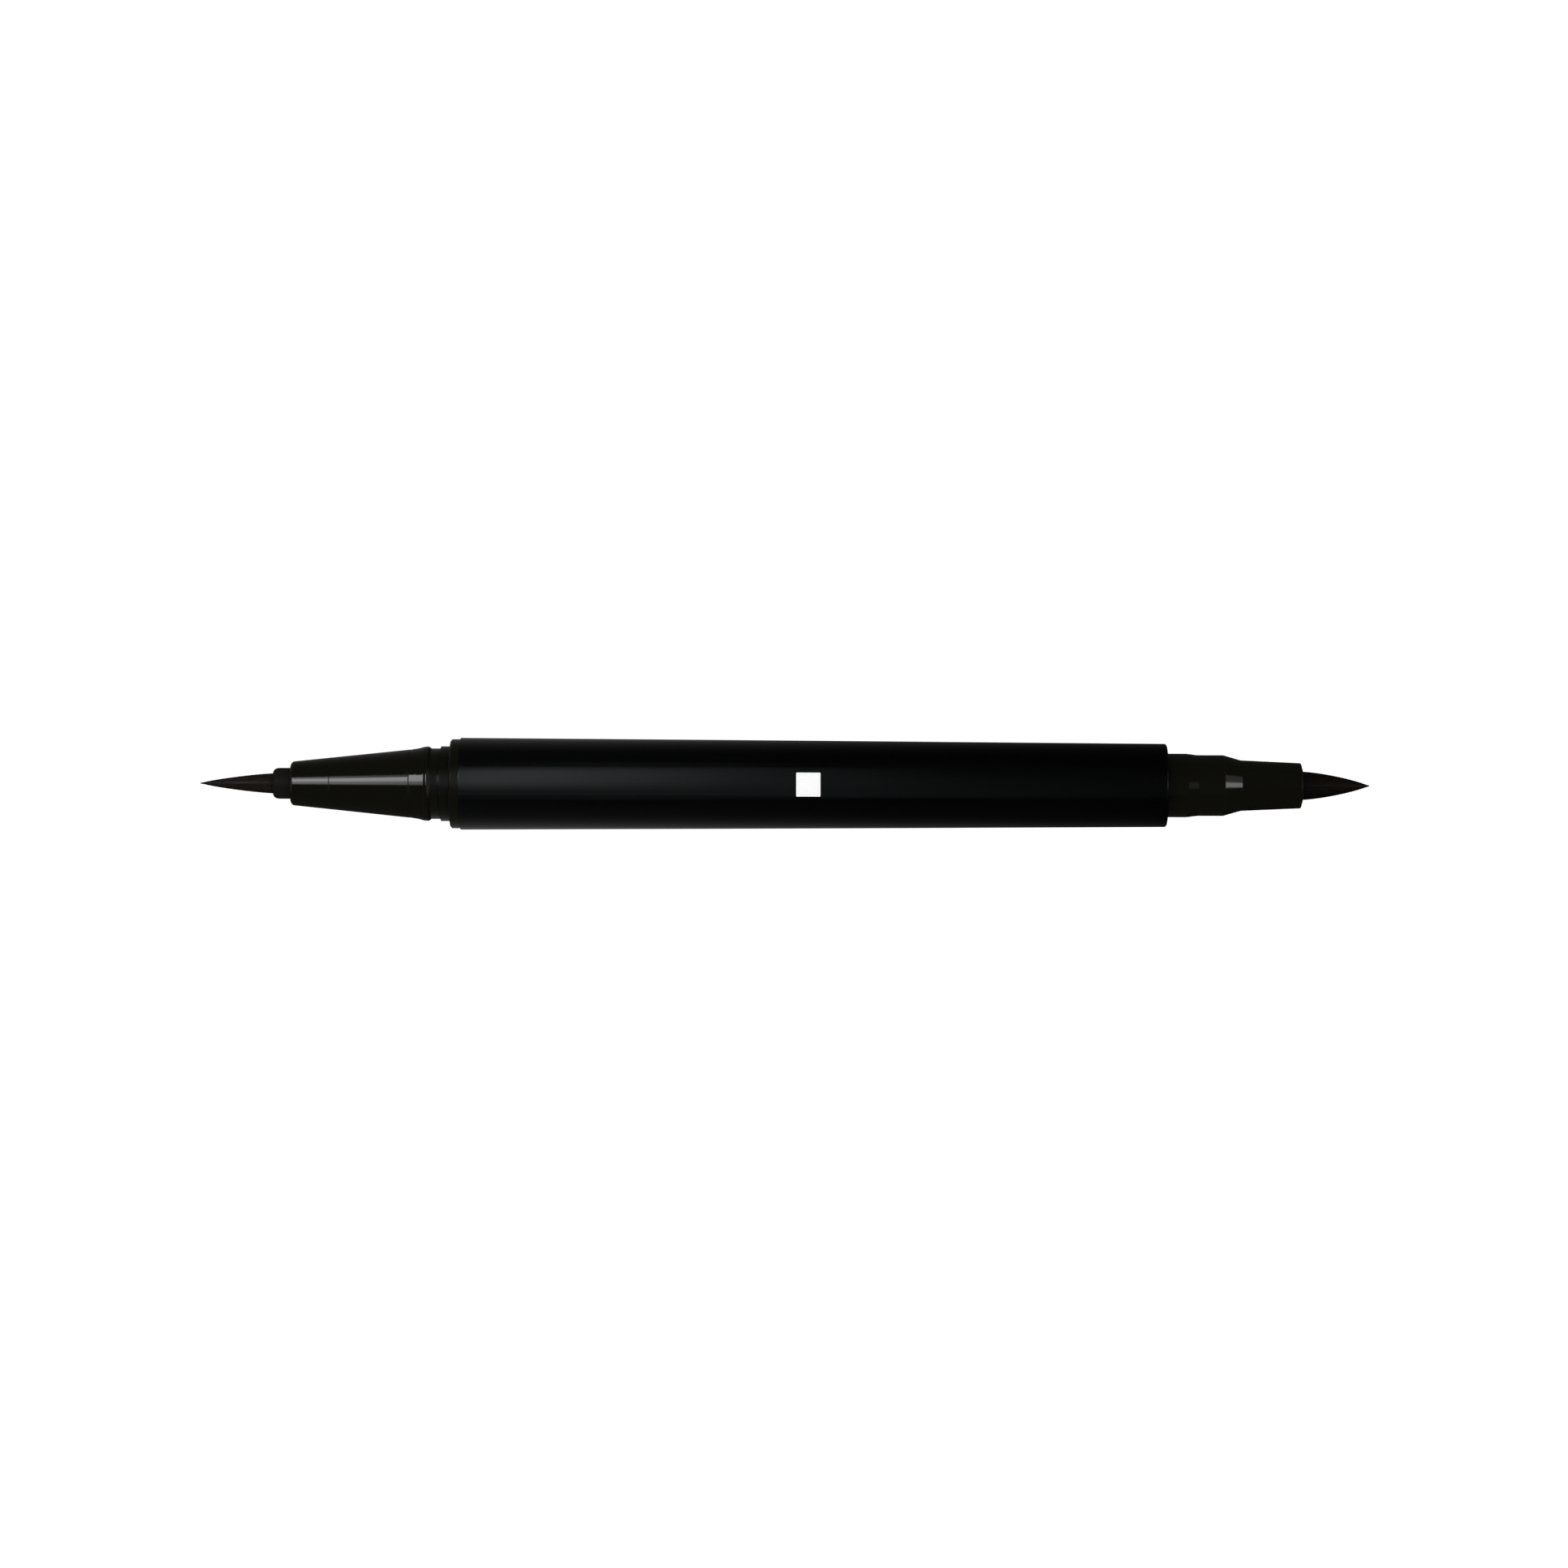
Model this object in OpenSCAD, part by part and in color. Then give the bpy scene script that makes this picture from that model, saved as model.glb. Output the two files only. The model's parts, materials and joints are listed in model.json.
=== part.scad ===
// Double-ended brush pen with its caps off: a fine and a bold brush on one barrel, each with its own ink.
// The pen lies along X with the fine brush towards -X. The middle of its length is at x = 0, and the
// barrel's lowest point is at z = 0. All sizes are in millimetres.

/* [Barrel] */
// Length of the barrel tube
barrel_len = 84.9; // [82:0.1:95]
// Outer diameter of the barrel at the fine end, behind the rim
barrel_d_fine = 10.96; // [10.9:0.02:12]
// Outer diameter of the barrel at the bold end
barrel_d_bold = 10.02; // [9.8:0.02:11]
// Height of the low rim at the fine end above the barrel's taper
rim_h = 0.06; // [0.02:0.02:0.2]
// Side of the square label
label_w = 2.9; // [2:0.1:5]
// Distance from the barrel's fine end to the middle of the label
label_pos = 41.8; // [30:0.1:55]

/* [Fine end] */
// Free length of the fine brush
fine_brush_len = 8.8; // [7:0.1:12]
// Diameter of the fine brush at its mouth
fine_brush_d = 2.46; // [2.3:0.02:2.5]
// How far the fine brush bellies out from a straight cone, at half its length
fine_belly = 0.18; // [0:0.01:0.22]
// Length of the collar in front of the grip
collar_len = 2.1; // [1.5:0.1:3]
// Diameter of the collar
collar_d = 3.74; // [3.74:0.02:4.4]
// Length of the conical grip, up to the line in front of the snap bead
grip_len = 14.1; // [13.5:0.1:18]
// Diameter of the grip at its front
grip_d_front = 5.24; // [5:0.02:5.8]
// Diameter of the grip at its back
grip_d_back = 8.22; // [8:0.02:8.4]
// Diameter of the seat that the fine cap slides onto
fine_seat_d = 9.02; // [9:0.02:9.2]

/* [Bold end] */
// Free length of the bold brush
bold_brush_len = 8.1; // [7:0.1:12]
// Diameter of the bold brush at its mouth
bold_brush_d = 3.48; // [3.2:0.02:3.5]
// How far the bold brush bellies out from a straight cone, at half its length
bold_belly = 0.29; // [0:0.01:0.35]
// Diameter of the seat that the bold cap slides onto
bold_seat_d = 7.66; // [7.6:0.02:8]
// Diameter of the nose at its shoulder
nose_d_back = 6.1; // [5.9:0.02:6.4]
// Diameter of the nose at its mouth
nose_d_front = 5.46; // [5.4:0.02:5.8]
// Length of the tapered nose
nose_len = 7.4; // [7:0.1:10]

/* [Ink system] */
// Diameter of the mixing ball
ball_d = 3; // [2:0.1:3]
// Distance from the barrel's fine end to the divider plug
divider_pos = 47.4; // [40:0.1:52]
// Distance between the collector's fins
fin_pitch = 1; // [0.8:0.1:1.5]

/* [Hidden] */
$fn = 96;

// Clearances: a slip fit between fixed parts, a small gap between faces that don't bear on each other,
// and the endways play of the parts that lie loose in the barrel.
slip = 0.02;
gap = 0.1;
play = 0.5;

// Radii of the two barrel bores, and the rim's two stretches.
fine_bore_r = 4.6;
bold_bore_r = 4.2;
rim_flat = 1.4;
rim_len = 2.2;

// Lengths of the fine section behind its grip, from the bead to the shoulder.
bead_len = 2.8;
neck_len = 1.2;
seat_len = 1.15;
shoulder_len = 1.2;
shoulder_h = 0.86;
fine_spigot_len = 9;
collar_r = collar_d / 2;
fine_seat_r = fine_seat_d / 2;
shoulder_r = fine_seat_r + shoulder_h;
bead_r = fine_seat_r - slip;
neck_r = fine_seat_r - 0.26;

// Lengths of the bold section in front of the barrel, from the base to the mouth.
base_len = 2.4;
step_len = 1.35;
waist_len = 3.1;
slope_len = 2.1;
bold_spigot_len = 6;
nose_dome = 0.25;
bold_seat_r = bold_seat_d / 2;
waist_r = bold_seat_r - 0.17;

// Distances from the barrel's end faces outward to each mouth, and the pen's overall length.
fine_grip_back = shoulder_len + seat_len + neck_len + bead_len;
fine_grip_front = fine_grip_back + grip_len;
fine_mouth = fine_grip_front + collar_len;
bold_slope_start = base_len + step_len + waist_len;
bold_slope_end = bold_slope_start + slope_len;
bold_mouth = bold_slope_end + nose_len;
total_len = fine_brush_len + fine_mouth + barrel_len + bold_mouth + bold_brush_len;

// The barrel's end faces along X, and the height of the pen's axis.
fine_face_x = fine_brush_len + fine_mouth - total_len / 2;
bold_face_x = fine_face_x + barrel_len;
axis_z = barrel_d_fine / 2 + rim_h;

// Sides of the barrel: the direction along X in which each end looks.
FINE = -1;
BOLD = 1;

// Fine brush: the holder's shank and bores.
fine_brush_r = fine_brush_d / 2;
shank_r = 1.63;
shank_len = 8;
holder_bore_len = 5.5;
fine_rod_r = 0.75;
root_len = 2.8;
pipe_r = 0.4;
pipe_bore_r = 0.22;
pipe_flange_len = 0.4;

// Bold brush: the ferrule tube.
bold_brush_r = bold_brush_d / 2;
bold_pipe_back = 7.2;
tube_r = 2.2;
tube_len = 8;
tube_cone_len = 0.3;
tube_flange_r = 2.7;
tube_flange_len = 0.8;
bold_rod_r = 1.1;
bold_cavity_r = 2.9;

// Collector and tank, in distances into the barrel from its fine end.
collector_r = 3.2;
collector_cavity_r = 3.3;
collector_cavity_front = fine_grip_front - 13;
collector_front = collector_cavity_front - play;
collector_core_r = 1.6;
fin_len = 0.4;
flange_len = 0.8;
plug_len = 3.2;
plug_r = 3.96;
tank_bore_r = 4;
tank_wall = 0.55;
tank_end_len = 1;
tank_mouth = fine_spigot_len + flange_len;
plug_end = tank_mouth + plug_len;
tank_end = divider_pos - play;
rod_in_tank = 3;
ball_r = ball_d / 2;

// Divider plug and fibre reservoir.
divider_len = 4;
divider_nose_len = 2;
bore_step = divider_pos + divider_len;
reservoir_r = 3.95;
film_len = 0.12;
reservoir_back = barrel_len - bore_step - divider_nose_len - play;
reservoir_front = bold_spigot_len + play;
rod_in_reservoir = 6;

// O-rings: their clearance, the endways room in their grooves, their places and the grooves' floors.
seal_clear = 0.005;
groove_room = 0.25;
fine_seal_pos = 3;
fine_groove_r = 3.75;
tank_seal_pos = tank_mouth + 1.6;
tank_groove_r = 3.3;
bold_seal_pos = 3;
bold_groove_r = 3.4;

// ---- Shared shapes ----

// Stands its children, drawn along +Z, on the pen's axis at distance x and looking to one side.
module on_axis(x, side) {
    translate([x, 0, axis_z]) rotate([0, side * 90, 0]) children();
}

// Places its children at an end of the barrel: z = 0 is the barrel's end face, and +Z looks outward.
module at_end(side) {
    on_axis(side == FINE ? fine_face_x : bold_face_x, side) children();
}

// Turns an outline of [radius, distance] points round the axis.
module lathe(outline) {
    rotate_extrude() polygon(outline);
}

// An arc as [radius, distance] points. Angles run from +Z towards the outside, and stretch makes it an
// ellipse that many times longer along the axis.
function arc(centre_r, centre_z, r, from, to, steps = 5, stretch = 1) = [
    for (i = [0:steps])
        let (a = from + (to - from) * i / steps)
            [centre_r + r * sin(a), centre_z + r * stretch * cos(a)]
];

// An O-ring that fills a groove of floor radius inner_r in a bore of radius outer_r.
module o_ring(inner_r, outer_r) {
    section_r = (outer_r - inner_r) / 2 - seal_clear;
    rotate_extrude() translate([(inner_r + outer_r) / 2, 0]) circle(r = section_r, $fn = 32);
}

// Width of the groove that holds an O-ring between two radii.
function groove_w(inner_r, outer_r) = outer_r - inner_r + groove_room;

// Free bristles: an ogive from the mouth at z = 0 to a point, with a half-ball foot that turns in the mouth.
module bristle_tip(len, r, belly) {
    steps = 14;
    ogive = [
        for (i = [0:steps])
            let (t = i / steps)
                [r * (1 - t) + 4 * belly * t * (1 - t), len * t]
    ];
    lathe(concat(arc(0, 0, r, 180, 99, 9), ogive));
}

// Bonded bristle root behind the half-ball foot, bored for the ink pipe.
module bristle_root(r) {
    front = -r - gap;
    lathe([
        [pipe_r + slip, front], [r, front],
        [r, front - root_len], [pipe_r + slip, front - root_len],
    ]);
}

// Ink pipe: a fine tube in the middle of the root, with a flange behind it. It ends at -back.
module ink_pipe(r, back) {
    front = -r - 2 * gap;
    flange = -r - gap - root_len;
    lathe([
        [pipe_bore_r, front], [pipe_r, front],
        [pipe_r, flange], [r, flange],
        [r, flange - pipe_flange_len], [pipe_r, flange - pipe_flange_len],
        [pipe_r, -back], [pipe_bore_r, -back],
    ]);
}

// ---- Barrel ----

// Outer radius of the barrel's straight taper at a distance from its fine end.
function taper_r(d) = (barrel_d_fine + (barrel_d_bold - barrel_d_fine) * d / barrel_len) / 2;

module barrel() {
    rim_r = axis_z;
    edge = 0.12;
    mouth_edge = 0.2;
    end_edge = 0.25;
    color([0.05, 0.05, 0.055])
    on_axis(fine_face_x, BOLD) lathe(concat(
        [[fine_bore_r + mouth_edge, 0]],
        arc(rim_r - edge, edge, edge, 180, 90),
        [[rim_r, rim_flat], [taper_r(rim_len), rim_len]],
        arc(taper_r(barrel_len) - end_edge, barrel_len - end_edge, end_edge, 90, 0),
        [
            [bold_bore_r + mouth_edge, barrel_len], [bold_bore_r, barrel_len - mouth_edge],
            [bold_bore_r, bore_step], [fine_bore_r, bore_step], [fine_bore_r, mouth_edge],
        ]
    ));
}

// Square label wrapped on the top of the barrel.
module label() {
    thickness = 0.08;
    from = label_pos - label_w;
    to = label_pos + label_w;
    color("white")
    intersection() {
        on_axis(fine_face_x, BOLD) lathe([
            [taper_r(from) + slip / 4, from], [taper_r(from) + thickness, from],
            [taper_r(to) + thickness, to], [taper_r(to) + slip / 4, to],
        ]);
        translate([fine_face_x + label_pos - label_w / 2, -label_w / 2, axis_z])
            cube([label_w, label_w, barrel_d_fine]);
    }
}

// Cup-shaped plug against the step between the two bores.
module divider_plug() {
    cup_r = 3.2;
    cup_depth = 3;
    lead = 0.3;
    nose_end = divider_pos + divider_len + divider_nose_len;
    color([0.25, 0.25, 0.27])
    on_axis(fine_face_x, BOLD) lathe([
        [0, divider_pos + cup_depth], [cup_r, divider_pos + cup_depth], [cup_r, divider_pos],
        [fine_bore_r - slip, divider_pos], [fine_bore_r - slip, bore_step],
        [bold_bore_r - slip, bore_step], [bold_bore_r - slip, nose_end - lead],
        [bold_bore_r - slip - lead, nose_end], [0, nose_end],
    ]);
}

// ---- Fine end ----

// Grip, bead, neck, cap seat, shoulder and spigot in one moulding.
module fine_section() {
    front_r = grip_d_front / 2;
    back_r = grip_d_back / 2;
    nose_edge = 0.5;
    shoulder_edge = 0.3;
    line_w = 0.12;
    line_h = 0.05;
    seat_front = shoulder_len + seat_len;
    neck_line = seat_front + neck_len / 2;
    bead_back = seat_front + neck_len;
    crest_back = bead_back + 0.5;
    crest_front = crest_back + 0.12;
    bead_foot = bead_back + 1.65;
    bead_foot_h = 0.14;
    spigot_r = fine_bore_r - slip;
    half_groove = groove_w(fine_groove_r, fine_bore_r) / 2;
    shank_bore_back = fine_grip_front - shank_len - gap;
    feed_bore_r = 2.2;
    color([0.07, 0.065, 0.06])
    at_end(FINE) lathe(concat(
        [[shank_r + slip, fine_grip_front]],
        arc(front_r - nose_edge, fine_grip_front - nose_edge, nose_edge, 0, 84),
        [
            [back_r, fine_grip_back + line_w / 2], [back_r - line_h, fine_grip_back],
            [back_r, fine_grip_back - line_w / 2],
            [back_r + bead_foot_h, bead_foot], [bead_r, crest_front], [bead_r, crest_back],
            [neck_r, bead_back], [neck_r, neck_line + line_w / 2],
            [neck_r + line_h, neck_line], [neck_r, neck_line - line_w / 2],
            [neck_r, seat_front + line_h], [fine_seat_r - line_h, seat_front],
            [fine_seat_r, seat_front - line_h], [fine_seat_r, shoulder_len],
        ],
        arc(shoulder_r - shoulder_edge, shoulder_len - shoulder_edge, shoulder_edge, 0, 90),
        [
            [shoulder_r, 0], [spigot_r, 0],
            [spigot_r, -fine_seal_pos + half_groove], [fine_groove_r, -fine_seal_pos + half_groove],
            [fine_groove_r, -fine_seal_pos - half_groove], [spigot_r, -fine_seal_pos - half_groove],
            [spigot_r, -fine_spigot_len + gap], [spigot_r - gap, -fine_spigot_len],
            [collector_cavity_r, -fine_spigot_len], [collector_cavity_r, collector_cavity_front],
            [feed_bore_r, collector_cavity_front], [feed_bore_r, shank_bore_back],
            [shank_r + slip, shank_bore_back],
        ]
    ));
}

module fine_section_seal() {
    color([0.1, 0.1, 0.1])
    at_end(FINE) translate([0, 0, -fine_seal_pos]) o_ring(fine_groove_r, fine_bore_r);
}

// Round-edged collar with a countersunk mouth, and a shank inside the grip.
module fine_brush_holder() {
    edge = 0.47;
    edge_stretch = 1.6;
    bore_r = fine_brush_r + slip;
    sink_r = fine_brush_r + 0.14;
    sink_depth = 0.4;
    rod_stop = fine_mouth - holder_bore_len;
    shank_back = fine_grip_front - shank_len;
    color([0.06, 0.055, 0.05])
    at_end(FINE) lathe(concat(
        [[sink_r, fine_mouth]],
        arc(collar_r - edge, fine_mouth - edge * edge_stretch, edge, 0, 90, 6, edge_stretch),
        [
            [collar_r, fine_grip_front], [shank_r, fine_grip_front],
            [shank_r, shank_back + gap], [shank_r - gap, shank_back],
            [fine_rod_r + slip, shank_back], [fine_rod_r + slip, rod_stop],
            [bore_r, rod_stop], [bore_r, fine_mouth - sink_depth],
        ]
    ));
}

module fine_bristle_root() {
    color([0.12, 0.1, 0.09])
    at_end(FINE) translate([0, 0, fine_mouth]) bristle_root(fine_brush_r);
}

module fine_bristle_tip() {
    color([0.08, 0.07, 0.06])
    at_end(FINE) translate([0, 0, fine_mouth]) bristle_tip(fine_brush_len, fine_brush_r, fine_belly);
}

module fine_ink_pipe() {
    color([0.85, 0.85, 0.87])
    at_end(FINE) translate([0, 0, fine_mouth]) ink_pipe(fine_brush_r, holder_bore_len + gap);
}

// Capillary rod from the pipe, through the collector, into the tank.
module fine_feed_rod() {
    front = fine_mouth - holder_bore_len - gap;
    back = -plug_end - rod_in_tank;
    color([0.9, 0.88, 0.82])
    at_end(FINE) translate([0, 0, back]) cylinder(r = fine_rod_r, h = front - back);
}

// Comb of fins on a bored core, slotted along one side, with a flanged plug for the tank.
module ink_collector() {
    comb_back = -fine_spigot_len;
    fins = floor((collector_front - comb_back - flange_len) / fin_pitch);
    half_groove = groove_w(tank_groove_r, tank_bore_r) / 2;
    flange_r = tank_bore_r + tank_wall;
    slot_w = 0.5;
    color([0.8, 0.82, 0.85])
    at_end(FINE) difference() {
        lathe(concat(
            [[fine_rod_r + slip, collector_front], [collector_core_r, collector_front]],
            [
                for (i = [0:fins - 1], corner = [0:3])
                    let (z = collector_front - fin_len - i * fin_pitch)
                        [
                            corner == 0 || corner == 3 ? collector_core_r : collector_r,
                            corner < 2 ? z : z - fin_len,
                        ]
            ],
            [
                [collector_core_r, comb_back], [flange_r, comb_back], [flange_r, -tank_mouth],
                [plug_r, -tank_mouth], [plug_r, -tank_seal_pos + half_groove],
                [tank_groove_r, -tank_seal_pos + half_groove], [tank_groove_r, -tank_seal_pos - half_groove],
                [plug_r, -tank_seal_pos - half_groove], [plug_r, -plug_end],
                [fine_rod_r + slip, -plug_end],
            ]
        ));
        translate([collector_core_r, -slot_w / 2, comb_back + gap])
            cube([collector_r, slot_w, collector_front - comb_back]);
    }
}

module tank_seal() {
    color([0.1, 0.1, 0.1])
    at_end(FINE) translate([0, 0, -tank_seal_pos]) o_ring(tank_groove_r, tank_bore_r);
}

// Cup that holds the free ink, closed towards the divider.
module ink_tank() {
    wall_r = tank_bore_r + tank_wall;
    end_edge = 0.5;
    color([0.85, 0.87, 0.9])
    at_end(FINE) lathe([
        [tank_bore_r, -tank_mouth], [wall_r, -tank_mouth],
        [wall_r, -tank_end + end_edge], [wall_r - end_edge, -tank_end],
        [0, -tank_end], [0, -tank_end + tank_end_len],
        [tank_bore_r, -tank_end + tank_end_len],
    ]);
}

// Steel ball lying on the bottom of the tank against its closed end.
module mixing_ball() {
    color("silver")
    translate([
        fine_face_x + tank_end - tank_end_len - ball_r - gap, 0,
        axis_z - tank_bore_r + ball_r + slip,
    ]) sphere(r = ball_r);
}

// ---- Bold end ----

// Stepped nose with a cap seat, and a spigot that ends flush with the barrel's mouth.
module bold_section() {
    front_r = nose_d_front / 2;
    edge = 0.22;
    spigot_r = bold_bore_r - slip;
    half_groove = groove_w(bold_groove_r, bold_bore_r) / 2;
    ease_len = step_len / 4;
    ease_h = 0.02;
    tube_back = bold_mouth - tube_len;
    color([0.07, 0.065, 0.06])
    at_end(BOLD) lathe(concat(
        [
            [bold_cavity_r, -bold_spigot_len], [spigot_r - gap, -bold_spigot_len],
            [spigot_r, -bold_spigot_len + gap],
            [spigot_r, -bold_seal_pos - half_groove], [bold_groove_r, -bold_seal_pos - half_groove],
            [bold_groove_r, -bold_seal_pos + half_groove], [spigot_r, -bold_seal_pos + half_groove],
            [spigot_r, 0], [bold_seat_r, 0],
            [bold_seat_r, base_len], [bold_seat_r - ease_h, base_len + ease_len],
            [waist_r + ease_h, base_len + step_len - ease_len], [waist_r, base_len + step_len],
            [waist_r, bold_slope_start], [nose_d_back / 2, bold_slope_end],
        ],
        arc(front_r - edge, bold_mouth - nose_dome - edge, edge, 87, 15),
        [
            [tube_r + slip, bold_mouth - gap], [tube_r + slip, tube_back],
            [bold_cavity_r, tube_back - tube_cone_len],
        ]
    ));
}

module bold_section_seal() {
    color([0.1, 0.1, 0.1])
    at_end(BOLD) translate([0, 0, -bold_seal_pos]) o_ring(bold_groove_r, bold_bore_r);
}

// Ferrule tube with a countersunk mouth, held from behind by its flange.
module bold_brush_tube() {
    bore_r = bold_brush_r + slip;
    sink_r = bold_brush_r + 0.26;
    sink_depth = 0.5;
    edge = 0.15;
    cone_front = bold_mouth - tube_len - gap;
    flange_front = cone_front - tube_cone_len;
    rod_stop = flange_front + 1.2;
    color([0.09, 0.085, 0.08])
    at_end(BOLD) lathe(concat(
        [[sink_r, bold_mouth]],
        arc(tube_r - edge, bold_mouth - edge, edge, 0, 90),
        [
            [tube_r, cone_front], [tube_flange_r, flange_front],
            [tube_flange_r, flange_front - tube_flange_len],
            [bold_rod_r + slip, flange_front - tube_flange_len], [bold_rod_r + slip, rod_stop],
            [bore_r, rod_stop], [bore_r, bold_mouth - sink_depth],
        ]
    ));
}

module bold_bristle_root() {
    color([0.12, 0.1, 0.09])
    at_end(BOLD) translate([0, 0, bold_mouth]) bristle_root(bold_brush_r);
}

module bold_bristle_tip() {
    color([0.08, 0.07, 0.06])
    at_end(BOLD) translate([0, 0, bold_mouth]) bristle_tip(bold_brush_len, bold_brush_r, bold_belly);
}

module bold_ink_pipe() {
    color([0.85, 0.85, 0.87])
    at_end(BOLD) translate([0, 0, bold_mouth]) ink_pipe(bold_brush_r, bold_pipe_back);
}

// Capillary rod from the pipe into the fibre reservoir.
module bold_feed_rod() {
    front = bold_mouth - bold_pipe_back;
    back = -reservoir_front - rod_in_reservoir;
    color([0.9, 0.88, 0.82])
    at_end(BOLD) translate([0, 0, back]) cylinder(r = bold_rod_r, h = front - back);
}

// Fibre rod with a blind hole for the feed rod.
module bold_reservoir() {
    color([0.92, 0.9, 0.86])
    at_end(BOLD) lathe([
        [0, -reservoir_back], [reservoir_r, -reservoir_back], [reservoir_r, -reservoir_front],
        [bold_rod_r + slip, -reservoir_front],
        [bold_rod_r + slip, -reservoir_front - rod_in_reservoir - gap],
        [0, -reservoir_front - rod_in_reservoir - gap],
    ]);
}

// Film sleeve round the fibre rod.
module reservoir_film() {
    film_r = reservoir_r + slip;
    color([0.75, 0.85, 0.9])
    at_end(BOLD) translate([0, 0, -reservoir_back]) difference() {
        cylinder(r = film_r + film_len, h = reservoir_back - reservoir_front);
        translate([0, 0, -1]) cylinder(r = film_r, h = reservoir_back - reservoir_front + 2);
    }
}

barrel();
label();
divider_plug();
fine_section();
fine_section_seal();
fine_brush_holder();
fine_bristle_root();
fine_bristle_tip();
fine_ink_pipe();
fine_feed_rod();
ink_collector();
tank_seal();
ink_tank();
mixing_ball();
bold_section();
bold_section_seal();
bold_brush_tube();
bold_bristle_root();
bold_bristle_tip();
bold_ink_pipe();
bold_feed_rod();
bold_reservoir();
reservoir_film();
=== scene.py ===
"""Looks of the double-ended brush pen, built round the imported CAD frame.

Everything round is turned about the pen's axis from an outline in millimetres. An outline's corners
are (distance, radius, rounding), and its points are (distance, radius). The distance runs outward
from one end face of the barrel, or along the barrel from its fine end.
"""

import json
import math
import random

import bmesh
import bpy
from mathutils import Matrix, Vector


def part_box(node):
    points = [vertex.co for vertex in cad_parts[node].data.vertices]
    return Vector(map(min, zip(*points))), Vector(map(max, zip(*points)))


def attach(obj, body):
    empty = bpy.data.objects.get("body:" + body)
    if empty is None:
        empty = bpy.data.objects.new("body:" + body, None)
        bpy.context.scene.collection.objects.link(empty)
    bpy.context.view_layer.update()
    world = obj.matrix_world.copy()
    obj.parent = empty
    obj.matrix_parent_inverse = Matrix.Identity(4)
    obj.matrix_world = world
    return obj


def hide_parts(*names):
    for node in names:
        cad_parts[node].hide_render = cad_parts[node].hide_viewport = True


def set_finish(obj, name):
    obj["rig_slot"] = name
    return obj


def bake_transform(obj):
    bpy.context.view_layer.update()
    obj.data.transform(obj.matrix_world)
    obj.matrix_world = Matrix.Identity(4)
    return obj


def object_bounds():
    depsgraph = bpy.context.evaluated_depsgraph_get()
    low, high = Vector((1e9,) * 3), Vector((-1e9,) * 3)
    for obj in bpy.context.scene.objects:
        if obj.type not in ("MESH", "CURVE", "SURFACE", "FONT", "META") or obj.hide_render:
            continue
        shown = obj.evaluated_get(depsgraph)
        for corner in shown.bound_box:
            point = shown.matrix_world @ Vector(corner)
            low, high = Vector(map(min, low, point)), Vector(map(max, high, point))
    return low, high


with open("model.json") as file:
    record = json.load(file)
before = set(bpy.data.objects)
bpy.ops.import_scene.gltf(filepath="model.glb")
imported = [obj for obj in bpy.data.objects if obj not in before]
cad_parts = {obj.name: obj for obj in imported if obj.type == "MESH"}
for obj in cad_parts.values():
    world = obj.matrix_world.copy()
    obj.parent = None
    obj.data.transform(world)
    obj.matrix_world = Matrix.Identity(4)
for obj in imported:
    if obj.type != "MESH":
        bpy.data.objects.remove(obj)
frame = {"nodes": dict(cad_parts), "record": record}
cad_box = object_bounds()

MM = 0.001

# Facets round each turned piece
SEGMENTS = 192

# Clearance between pieces that touch, in mm
SLIP = 0.02

# Roundings in mm: of a crisp moulded edge, an edge inside the pen, and a spigot's leading edge
CRISP = 0.03
INNER = 0.05
LEAD = 0.1

# Edges that stand out are rubbed where their rounding is tighter than this, in mm
RUBBED_R = 0.6

# ---- Places, from the frame ----

barrel_low, barrel_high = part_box("barrel")
AXIS = Vector((0, 0, (barrel_low.z + barrel_high.z) / 2))
FINE = -1
BOLD = 1
FACE_X = {FINE: barrel_low.x, BOLD: barrel_high.x}
BARREL_LEN = (barrel_high.x - barrel_low.x) / MM


def radius(node):
    """Outer radius of a node that is turned about the axis, in mm."""
    low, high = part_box(node)
    return (high.z - low.z) / 2 / MM


def reach(node, side):
    """Where a node starts and ends, in mm outward from the barrel's end face on that side."""
    low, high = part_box(node)
    ends = [side * (x - FACE_X[side]) / MM for x in (low.x, high.x)]
    return min(ends), max(ends)


# ---- Outlines and turned pieces ----


def rounded(corners, steps):
    """Rounds the corners of a closed outline.

    Returns its points, each with the centre of the arc that it lies on, or None.
    """
    straight = 1e-4
    longest_cut = 0.48
    points = []
    for i, (d, r, rounding) in enumerate(corners):
        here = Vector((d, r))
        back = Vector(corners[i - 1][:2]) - here
        ahead = Vector(corners[(i + 1) % len(corners)][:2]) - here
        half_angle = back.angle(ahead) / 2
        if rounding == 0 or abs(half_angle - math.pi / 2) < straight:
            points.append((here, None))
            continue
        longest = longest_cut * min(back.length, ahead.length)
        cut = min(rounding / math.tan(half_angle), longest)
        arc_radius = cut * math.tan(half_angle)
        towards = (back.normalized() + ahead.normalized()).normalized()
        centre = here + towards * arc_radius / math.sin(half_angle)
        first = here + back.normalized() * cut - centre
        sweep = first.angle_signed(here + ahead.normalized() * cut - centre)
        for k in range(steps + 1):
            points.append((centre + Matrix.Rotation(-sweep * k / steps, 2) @ first, centre))
    return points


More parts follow.
